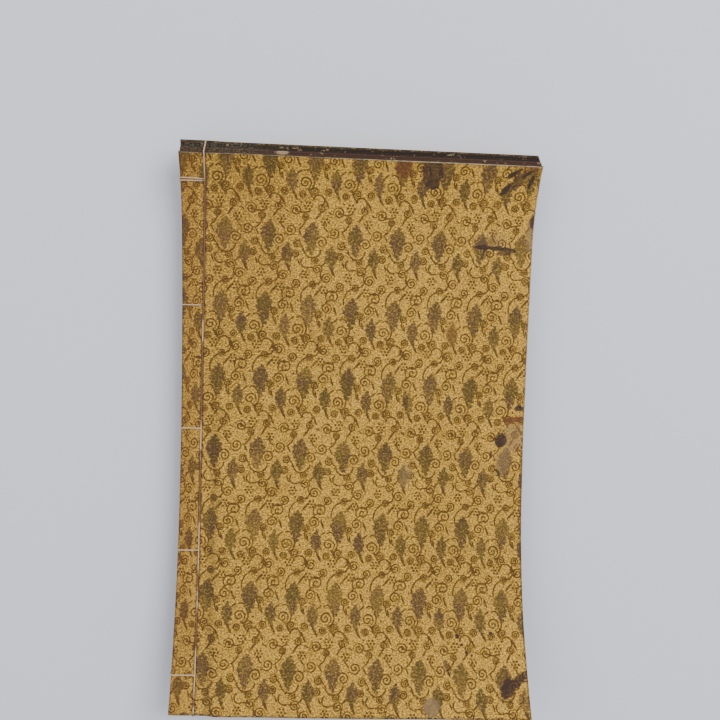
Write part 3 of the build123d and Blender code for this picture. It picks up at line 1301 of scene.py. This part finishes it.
@dataclass
class Covers:
    """Front and back covers: figured cloth over a board, and a paper lining."""

    grid: SheetGrid
    board: float = 0.00125
    lining: float = 0.00012
    lining_inset: float = 0.009
    edge_round: float = 0.00045
    full_thickness: float = 0.0015
    cloth_cut: tuple[float, float] = (0.224, 0.334)  # the board's face and a turn-in of 12 mm on every side
    stains: tuple[Stain, ...] = (
        Stain(138.5, 3.5, 6.0, 9.5, 0.0, 0.93, 0.5),
        Stain(139.0, 11.5, 4.4, 4.0, 0.0, 0.98, 0.5),
        Stain(181.5, 13.0, 1.5, 5.6, 42.0, 0.98, 0.4),
        Stain(187.0, 8.5, 3.0, 6.8, 35.0, 0.86, 0.6),
        Stain(184.5, 4.5, 1.4, 4.8, 58.0, 0.98, 0.4),
        Stain(191.5, 4.5, 1.1, 4.4, 62.0, 0.94, 0.4),
        Stain(194.5, 9.0, 1.2, 4.2, 15.0, 0.94, 0.5),
        Stain(171.0, 46.0, 5.5, 1.3, 0.0, 0.98, 0.3),
        Stain(181.5, 46.6, 8.5, 1.4, 5.0, 0.98, 0.4),
        Stain(184.5, 48.6, 5.5, 1.6, -8.0, 0.84, 0.7),
        # Painted shadow on the head side of the short crease near the head
        Stain(174.0, 43.0, 5.0, 2.6, 0.0, 0.45, 0.8),
        Stain(172.5, 49.5, 2.6, 3.0, 0.0, 0.55, 0.8),
        Stain(199.0, 31.0, 1.6, 4.5, 0.0, 0.92, 0.4),
        Stain(128.5, 133.0, 1.6, 5.5, -8.0, 0.70, 0.6),
        Stain(196.5, 137.0, 2.8, 1.6, 0.0, 0.97, 0.2),
        Stain(186.5, 155.5, 3.8, 4.1, 0.0, 0.97, 0.15),
        Stain(181.0, 163.5, 0.7, 2.2, 0.0, 0.95, 0.3),
        Stain(185.5, 174.0, 0.9, 2.6, -30.0, 0.90, 0.4),
        Stain(180.5, 264.5, 1.3, 0.7, 20.0, 0.97, 0.3),
        Stain(161.0, 266.5, 1.1, 1.5, 0.0, 0.97, 0.5),
        Stain(163.5, 271.0, 1.0, 0.9, 0.0, 0.97, 0.4),
        Stain(166.0, 275.0, 0.9, 0.9, 0.0, 0.97, 0.4),
        Stain(169.0, 276.5, 0.8, 0.8, 0.0, 0.95, 0.4),
        Stain(155.0, 283.0, 1.8, 3.8, -20.0, 0.78, 1.0),
        Stain(188.5, 294.0, 4.0, 6.4, 30.0, 0.97, 0.4),
        Stain(194.0, 290.0, 2.6, 6.8, 50.0, 0.95, 0.4),
    )
    scuffs: tuple[Stain, ...] = (
        Stain(193.0, 154.0, 6.0, 9.5, 10.0, 0.52, 0.7),
        Stain(188.0, 168.0, 4.0, 7.0, 0.0, 0.44, 0.8),
        Stain(130.0, 176.0, 3.5, 6.0, 0.0, 0.46, 0.8),
        Stain(145.0, 304.0, 4.6, 5.0, 0.0, 0.90, 0.3),
        # Faint broad patch on the head side of the short crease near the head: painted shadow
        Stain(178.0, 42.0, 8.0, 4.5, 0.0, 0.26, 0.8),
        Stain(198.5, 38.0, 2.4, 10.0, 0.0, 0.70, 0.7),
    )
    rusts: tuple[Stain, ...] = (
        Stain(123.0, 4.0, 5.5, 5.5, 0.0, 0.70, 0.7),
        Stain(193.5, 143.5, 6.5, 1.7, -8.0, 0.90, 0.5),
        Stain(154.5, 95.0, 3.5, 7.0, 0.0, 0.36, 0.8),
        Stain(199.5, 190.0, 1.2, 40.0, 0.0, 0.50, 1.0),
        Stain(193.0, 1.5, 8.0, 1.6, 0.0, 0.45, 0.8),
        # The last, broad and faint spot is painted shade over the front cover towards the spine and the head
        Stain(40.0, 45.0, 26.0, 40.0, 0.0, 0.12, 0.8),
    )

    def build(self) -> None:
        """Model and dress both covers."""
        paper = AgedPaper(name="lining_paper", sooty=False).build()
        front_start, back_start = (BOW.head_end(self.top_depth(side)) / MM for side in Face)
        cloth = FiguredCloth(
            stains=self.stains, scuffs=self.scuffs, rusts=self.rusts, head_starts=(front_start, back_start)
        ).build()
        for side in Face:
            self.add_cover(side, cloth)
            self.add_lining(side, paper)
            log.info("%s cover", side.value)

    def top_depth(self, side: Face) -> float:
        """Depth of a cover's upper face under the front face."""
        return 0.0 if side is Face.FRONT else BOW.thickness - self.full_thickness

    def depth(self, side: Face, across: np.ndarray, sunk: float) -> np.ndarray:
        """Depth of a cover's layer under the front face, with the sewn margin pressed in.

        Args:
            side: Which cover.
            across: Distances from the spine.
            sunk: Depth of the layer's upper face below its own cover's upper face.

        Returns:
            The depth at each distance.
        """
        pressed = 1 - smooth_step(across, BOW.sewing_line + 0.002, BOW.sewing_line + 0.012)
        if side is Face.FRONT:
            return sunk + BOW.margin_squeeze * pressed
        return BOW.thickness - self.full_thickness + sunk - BOW.margin_squeeze * pressed

    def surface(self, side: Face, sunk: float) -> Callable[[np.ndarray, np.ndarray], np.ndarray]:
        """Upper face of one layer of a cover.

        Args:
            side: Which cover.
            sunk: Depth of the layer's upper face below its own cover's upper face.

        Returns:
            A function that gives the points of the face.
        """

        def points(across: np.ndarray, along: np.ndarray) -> np.ndarray:
            """Points of the face.

            Args:
                across: Distances from the spine edge.
                along: Distances from the cover's head edge.

            Returns:
                The points, one row each.
            """
            placed = BOW.place(across, along, self.depth(side, across, sunk))
            if side is Face.FRONT:
                placed[:, 2] += BOW.relief(across, along)
            return placed

        return points

    def add_cover(self, side: Face, cloth: bpy.types.Material) -> None:
        """Model one cover's board with its cloth, rounded at its edges.

        Args:
            side: Which cover.
            cloth: Its finish.
        """
        depth = self.top_depth(side)
        columns = self.grid.columns(0.0, BOW.width)
        rows = self.grid.rows(BOW.head_end(depth), BOW.length)
        sunk = 0.0 if side is Face.FRONT else self.full_thickness - self.board
        number = 0.0 if side is Face.FRONT else 1.0
        piece = add_sheet(f"{side.value}_cover", columns, rows, self.surface(side, sunk), self.board, number)
        apply_modifier(
            piece,
            "BEVEL",
            width=self.edge_round,
            segments=3,
            limit_method="ANGLE",
            angle_limit=math.radians(60),
        )
        shade_by_angle(piece, 50)
        layers = ("facing", "board", "margin_facing", "margin_board")
        replaced = [f"{side.value}_{layer}" for layer in layers]
        finish_piece(piece, cloth, replaced)
        self.grid.join_covers(piece, f"{side.value}_cover")

    def add_lining(self, side: Face, paper: bpy.types.Material) -> None:
        """Model the paper pasted inside one cover.

        Args:
            side: Which cover.
            paper: Its finish.
        """
        inner = self.board + 0.00002 if side is Face.FRONT else self.full_thickness - self.board - self.lining
        depth = self.top_depth(side) + inner
        columns = self.grid.columns(0.002, BOW.width - self.lining_inset)
        rows = self.grid.rows(BOW.head_end(depth) + self.lining_inset, BOW.length - self.lining_inset)
        piece = add_sheet(
            f"{side.value}_cover_lining", columns, rows, self.surface(side, inner), self.lining, 40.0
        )
        shade_by_angle(piece, 50)
        replaced = [f"{side.value}_lining", f"{side.value}_margin_lining"]
        finish_piece(piece, paper, replaced)
        self.grid.join_covers(piece, f"{side.value}_cover")


@dataclass
class LeafBlock:
    """The album's leaves, each one sheet from the spine to the fore-edge."""

    grid: SheetGrid
    count: int = 20
    paper: float = 0.00044
    cover: float = 0.0015
    tie_room: float = 0.0005
    inset: float = 0.0006
    fore_inset: float = 0.00025
    edge_wander: float = 0.0005
    seed: int = 11

    def build(self) -> None:
        """Model and dress every leaf."""
        paper = AgedPaper().build()
        chance = np.random.default_rng(self.seed)
        for number in range(self.count):
            name = self.leaf_name(number)
            self.add_leaf(number, name, paper, chance)
            log.info("%s", name)

    def leaf_name(self, number: int) -> str:
        """Name of the leaf, which is also its CAD node's name.

        Args:
            number: The leaf's number from the front, from 0.

        Returns:
            The name.
        """
        if number == 0:
            return "front_flyleaf"
        return "back_flyleaf" if number == self.count - 1 else f"leaf_{number:02d}"

    def add_leaf(
        self, number: int, name: str, paper: bpy.types.Material, chance: np.random.Generator
    ) -> None:
        """Model one leaf.

        Args:
            number: The leaf's number from the front, from 0.
            name: Its name.
            paper: Its finish.
            chance: Source of the leaf's own unevenness.
        """
        bound_start = BOW.margin_squeeze + self.cover + self.tie_room
        free_pitch = (BOW.thickness - 2 * self.cover) / self.count
        bound_pitch = (BOW.thickness - 2 * bound_start) / self.count
        free_depth = self.cover + free_pitch * (number + 0.5) - self.paper / 2
        bound_depth = bound_start + bound_pitch * (number + 0.5) - self.paper / 2
        phase = chance.uniform(0, math.tau, 4)
        inset = self.fore_inset + chance.uniform(0, 1, 3) * self.edge_wander

        def points(across: np.ndarray, along: np.ndarray) -> np.ndarray:
            """Points of the leaf's upper face.

            Args:
                across: Distances from the spine edge.
                along: Distances from the cover's head edge.

            Returns:
                The points, one row each.
            """
            free = smooth_step(across, BOW.sewing_line + 0.002, BOW.sewing_line + 0.014)
            depth = bound_depth * (1 - free) + free_depth * free
            placed = BOW.place(across, along, depth)
            follow = 1 - depth / BOW.thickness
            wave = np.sin(along * 61.0 + phase[0]) * np.sin(across * 37.0 + phase[1])
            placed[:, 2] += BOW.relief(across, along) * follow + 0.00004 * wave * free
            fore = smooth_step(across, 0.9 * BOW.width, BOW.width)
            nibble = np.sin(along * 210.0 + phase[2]) * np.sin(along * 67.0 + phase[3])
            placed[:, 0] += 0.00018 * fore * nibble
            return placed

        columns = self.grid.columns(self.inset, BOW.width - inset[0])
        rows = self.grid.rows(BOW.head_end(free_depth) + inset[1], BOW.length - inset[2])
        piece = add_sheet(name, columns, rows, points, self.paper, float(number))
        shade_by_angle(piece, 50)
        finish_piece(piece, paper, [name, *(["leaf_margins"] if number == 0 else [])])
        self.grid.join_covers(piece, f"{name}_body")


@dataclass
class BindingThread:
    """The twisted thread: a loop along the sewing line, and turns round the spine at the stations."""

    diameter: float = 0.00082
    strands: int = 3
    strand_depth: float = 0.16
    twist_length: float = 0.0034
    ring_step: float = 0.00042
    sides: int = 12
    double_gap: float = 0.0007
    bend: float = 0.0007
    loop_points: int = 150
    turn_points: int = 16

    def build(self) -> None:
        """Model and dress the thread."""
        paths = [self.long_loop(), *self.spine_turns()]
        vertices: list[np.ndarray] = []
        faces: list[tuple[int, ...]] = []
        for path in paths:
            self.add_tube(path, vertices, faces)
        mesh = bpy.data.meshes.new("binding_thread_sewn")
        mesh.from_pydata(np.concatenate(vertices).tolist(), [], faces)
        piece = bpy.data.objects.new("binding_thread_sewn", mesh)
        bpy.context.collection.objects.link(piece)
        shade_by_angle(piece, 80)
        finish_piece(piece, SewingThread().build(), ["binding_thread"])
        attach(piece, ROOT_BODY)
        log.info("binding thread, %d lengths", len(paths))

    def face_point(self, across: float, along: float, depth: float, lift: float) -> np.ndarray:
        """Point over the sewn margin's front face, or under its back face where the lift is negative.

        Args:
            across: Distance from the spine edge.
            along: Distance from the cover's head edge.
            depth: Depth under the front cover's face.
            lift: Height over the sheet at that depth, negative below it.

        Returns:
            The point.
        """
        spot = BOW.place(np.array([across]), np.array([along]), np.array([depth]))[0]
        spot[2] += lift
        return spot

    def dent(self, across: float, along: float) -> float:
        """Height of the front face's relief at one place."""
        return float(BOW.relief(np.array([across]), np.array([along]))[0])

    def long_loop(self) -> np.ndarray:
        """Loop along the front, over the tail, along the back and over the head.

        Returns:
            Points of the closed loop.
        """
        front, back = BOW.margin_squeeze, BOW.thickness - BOW.margin_squeeze
        half = self.diameter / 2
        tail = BOW.length
        along = np.linspace(BOW.head_end(front), tail, self.loop_points)
        lifts = [half + self.dent(BOW.sewing_line, s) for s in along]
        points = [self.face_point(BOW.sewing_line, s, front, lift) for s, lift in zip(along, lifts)]
        tail_top = self.face_point(BOW.sewing_line, tail, front, 0.0)
        tail_low = self.face_point(BOW.sewing_line, tail, back, 0.0)
        points += [tail_top + (0, -half, -self.bend), tail_low + (0, -half, self.bend)]
        along = np.linspace(tail, BOW.head_end(back), self.loop_points)
        points += [self.face_point(BOW.sewing_line, s, back, -half) for s in along]
        head_low = self.face_point(BOW.sewing_line, BOW.head_end(back), back, 0.0)
        head_top = self.face_point(BOW.sewing_line, BOW.head_end(front), front, 0.0)
        points += [head_low + (0, half, self.bend), head_top + (0, half, -self.bend)]
        return np.array(points)

    def spine_turns(self) -> list[np.ndarray]:
        """Loops round the spine edge through each station, two at the first.

        Returns:
            Points of each closed turn.
        """
        front, back = BOW.margin_squeeze, BOW.thickness - BOW.margin_squeeze
        half = self.diameter / 2
        turns = []
        for number, station in enumerate(BOW.stations):
            shifts = (-self.double_gap, self.double_gap) if number == 0 else (0.0,)
            for shift in shifts:
                reach = np.linspace(BOW.sewing_line, self.bend, self.turn_points)
                top = []
                for across in reach:
                    closing = 1 - (across / BOW.sewing_line) ** 4 * 0.5
                    s = station + shift * closing
                    top.append(self.face_point(across, s, front, half + self.dent(across, s)))
                spine_top = self.face_point(0.0, station + shift, front, -self.bend) - (half, 0, 0)
                spine_low = self.face_point(0.0, station + shift, back, self.bend) - (half, 0, 0)
                low = [self.face_point(a, station + shift, back, -half) for a in reach[::-1]]
                inside = [
                    self.face_point(BOW.sewing_line, station + shift * 0.4, back, 0.002),
                    self.face_point(BOW.sewing_line, station + shift * 0.4, front, -0.002),
                ]
                turns.append(np.array([*top, spine_top, spine_low, *low, *inside]))
        return turns

    def add_tube(self, path: np.ndarray, vertices: list[np.ndarray], faces: list[tuple[int, ...]]) -> None:
        """Add a closed twisted tube along a closed path.

        Args:
            path: Points of the path, without the first repeated at the end.
            vertices: Vertex arrays, added to.
            faces: Faces, added to.
        """
        closed = np.vstack([path, path[:1]])
        steps = np.linalg.norm(np.diff(closed, axis=0), axis=1)
        run = np.concatenate([[0.0], np.cumsum(steps)])
        count = round(run[-1] / self.ring_step)
        at = np.arange(count) * run[-1] / count
        middle = np.stack([np.interp(at, run, closed[:, axis]) for axis in range(3)], axis=1)
        for _ in range(2):
            middle = (np.roll(middle, 1, axis=0) + 2 * middle + np.roll(middle, -1, axis=0)) / 4
        ahead = np.roll(middle, -1, axis=0) - np.roll(middle, 1, axis=0)
        ahead /= np.linalg.norm(ahead, axis=1, keepdims=True)
        side = np.empty_like(ahead)
        reference = np.array([0.0, 0.0, 1.0]) if abs(ahead[0][2]) < 0.9 else np.array([1.0, 0.0, 0.0])
        current = np.cross(ahead[0], reference)
        for index, direction in enumerate(ahead):
            current = current - direction * np.dot(current, direction)
            current /= np.linalg.norm(current)
            side[index] = current
        other = np.cross(ahead, side)
        # The frame's own turn over the loop is spread along it, so that the last ring meets the first
        miss = math.atan2(float(np.dot(side[0], other[-1])), float(np.dot(side[0], side[-1])))
        turns = max(1, round(run[-1] / self.twist_length / self.strands)) * self.strands
        twist = at / run[-1]
        around = np.arange(self.sides) / self.sides * math.tau
        angle = around[None, :] + (twist * miss)[:, None]
        twisted = around[None, :] + twist[:, None] * math.tau * turns / self.strands
        lobes = 1 + self.strand_depth * np.cos(self.strands * twisted)
        radius = self.diameter / 2 * lobes / (1 + self.strand_depth)
        ring = middle[:, None, :] + radius[..., None] * (
            np.cos(angle)[..., None] * side[:, None, :] + np.sin(angle)[..., None] * other[:, None, :]
        )
        start = sum(len(group) for group in vertices)
        vertices.append(ring.reshape(-1, 3))
        for index in range(count):
            following = (index + 1) % count
            for corner in range(self.sides):
                after = (corner + 1) % self.sides
                faces.append((
                    start + index * self.sides + corner, start + index * self.sides + after,
                    start + following * self.sides + after, start + following * self.sides + corner,
                ))


@dataclass
class PaperTies:
    """The twisted-paper ties inside the margin, which keep their CAD shape."""

    nodes: tuple[str, ...] = ("head_paper_tie", "tail_paper_tie")

    def build(self) -> None:
        """Dress the ties."""
        graph = Graph("tie_paper")
        place = graph.object_place()
        fibre = graph.noise(graph.vector("MULTIPLY", place, (1.0, 1.0, 0.4)), 2400.0, 3.0, 0.7)
        colour = graph.mix(fibre, (0.56, 0.46, 0.30), (0.38, 0.28, 0.16))
        graph.surface(colour, 0.9, graph.bump(fibre, 0.0001, 0.7))
        for name in self.nodes:
            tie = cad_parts[name]
            for material_slot in tie.material_slots:
                material_slot.material = graph.material
            log.info("%s", name)


@dataclass
class Studio:
    """Floor, lights and camera."""

    camera_place: tuple[float, float, float] = (-0.0317, 0.0603, 0.4565)
    aim: tuple[float, float, float] = (0.0017, 0.0408, 0.0160)
    roll: float = 1.55
    lens: float = 39.34
    floor_size: float = 6.0
    floor_gap: float = 0.0003  # keeps the floor out of the level part of the back cover
    # Lights: name, place, size and power
    lights: tuple[tuple[str, tuple[float, float, float], float, float], ...] = (
        ("key_light", (0.9, 0.8, 1.5), 1.1, 26.0),
        ("fill_light", (-1.2, 0.4, 1.4), 1.4, 9.0),
    )
    sky: tuple[float, float, float] = (0.93, 0.96, 1.0)
    sky_strength: float = 0.70
    sensor: float = 36.0
    near_clip: float = 0.01

    def build(self) -> None:
        """Set the studio up."""
        self.add_floor()
        self.add_lights()
        self.add_camera()
        log.info("studio")

    def add_floor(self) -> None:
        """Lay the floor under the album."""
        deselect_all()
        bpy.ops.mesh.primitive_plane_add(size=self.floor_size, location=(0, 0, -self.floor_gap))
        floor = bpy.context.object
        floor.name = "floor"
        floor.data.materials.append(PlainFloor().build())

    def add_lights(self) -> None:
        """Hang two large soft lights, and fill from all round."""
        for name, place, size, power in self.lights:
            deselect_all()
            bpy.ops.object.light_add(type="AREA", location=place)
            light = bpy.context.object
            light.name = name
            light.data.size = size
            light.data.energy = power
            self.look_at(light, (0.0, 0.0, 0.0), 0.0)
        world = bpy.data.worlds.new("studio_world")
        world.use_nodes = True
        background = world.node_tree.nodes["Background"]
        background.inputs["Color"].default_value = (*self.sky, 1.0)
        background.inputs["Strength"].default_value = self.sky_strength
        bpy.context.scene.world = world

    def add_camera(self) -> None:
        """Place the camera."""
        deselect_all()
        bpy.ops.object.camera_add(location=self.camera_place)
        camera = bpy.context.object
        camera.data.lens = self.lens
        camera.data.sensor_width = self.sensor
        camera.data.clip_start = self.near_clip
        self.look_at(camera, self.aim, self.roll)
        bpy.context.scene.camera = camera

    def look_at(self, thing: bpy.types.Object, aim: tuple[float, float, float], roll: float) -> None:
        """Point a light or camera at a place, with +Y of the frame upwards in its view.

        Args:
            thing: The light or camera.
            aim: The place.
            roll: Turn about its own view, in degrees.
        """
        ahead = (Vector(aim) - Vector(thing.location)).normalized()
        right = ahead.cross(Vector((0.0, 1.0, 0.0))).normalized()
        up = right.cross(ahead)
        basis = Matrix((right, up, -ahead)).transposed()
        thing.rotation_euler = (basis @ Matrix.Rotation(math.radians(roll), 3, "Z")).to_euler()


def main() -> None:
    """Build every sub-assembly in order."""
    grid = SheetGrid()
    Studio().build()
    Covers(grid).build()
    LeafBlock(grid).build()
    BindingThread().build()
    PaperTies().build()


if __name__ == "__main__":
    main()
